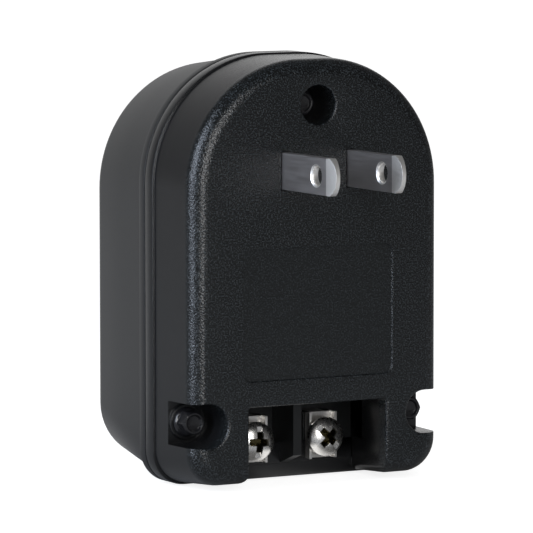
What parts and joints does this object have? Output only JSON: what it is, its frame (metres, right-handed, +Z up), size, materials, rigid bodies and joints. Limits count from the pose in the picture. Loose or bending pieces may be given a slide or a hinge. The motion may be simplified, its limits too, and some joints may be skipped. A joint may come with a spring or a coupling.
{
  "type": "plug-in ac transformer",
  "caption": "Black plug-in AC transformer: rounded two-shell case with flat plug blades, a bare label recess, recessed case screws and an open bay with screw terminals at the foot.",
  "frame": {"origin": "on the plug face, midway between the two blades, where the face meets the wall plate of an outlet", "axes": "+Z up, -Y out of the plug face along the blades towards the wall, +Y into the case, +X to the right when looking at the plug face"},
  "size_m": [0.05, 0.0551, 0.0735],
  "materials": {
    "case": "moulded black plastic, spark-textured face, satin sides",
    "blade": null,
    "inner_plastic": "natural nylon",
    "terminal_plastic": "black moulded plastic, smooth",
    "terminal": "bright nickel-plated sheet",
    "terminal_screw": "bright nickel plating",
    "case_screw": "black oxide steel",
    "core": "silicon steel laminations",
    "copper": null,
    "tape": "polyester tape",
    "cutoff": "moulded thermal cutoff body",
    "primary_lead": "insulated wire",
    "secondary_lead": "insulated wire",
    "pad": "soft pad"
  },
  "bodies": {
    "root": {"front_cover": "case", "rear_case": "case", "blade_left": "blade", "blade_right": "blade", "blade_retainer": "inner_plastic", "terminal_block": "terminal_plastic", "terminal_plate_left": "terminal", "terminal_plate_right": "terminal", "terminal_screw_left": "terminal_screw", "terminal_screw_right": "terminal_screw", "case_screw_top": "case_screw", "case_screw_left": "case_screw", "case_screw_right": "case_screw", "core_e_stack": "core", "core_i_stack": "core", "bobbin": "inner_plastic", "primary_winding": "copper", "secondary_winding": "copper", "primary_tape": "tape", "secondary_tape": "tape", "thermal_cutoff": "cutoff", "primary_lead_left": "primary_lead", "primary_lead_right": "primary_lead", "secondary_lead_left": "secondary_lead", "secondary_lead_right": "secondary_lead", "core_pad_left": "pad", "core_pad_right": "pad"}
  },
  "joints": []
}
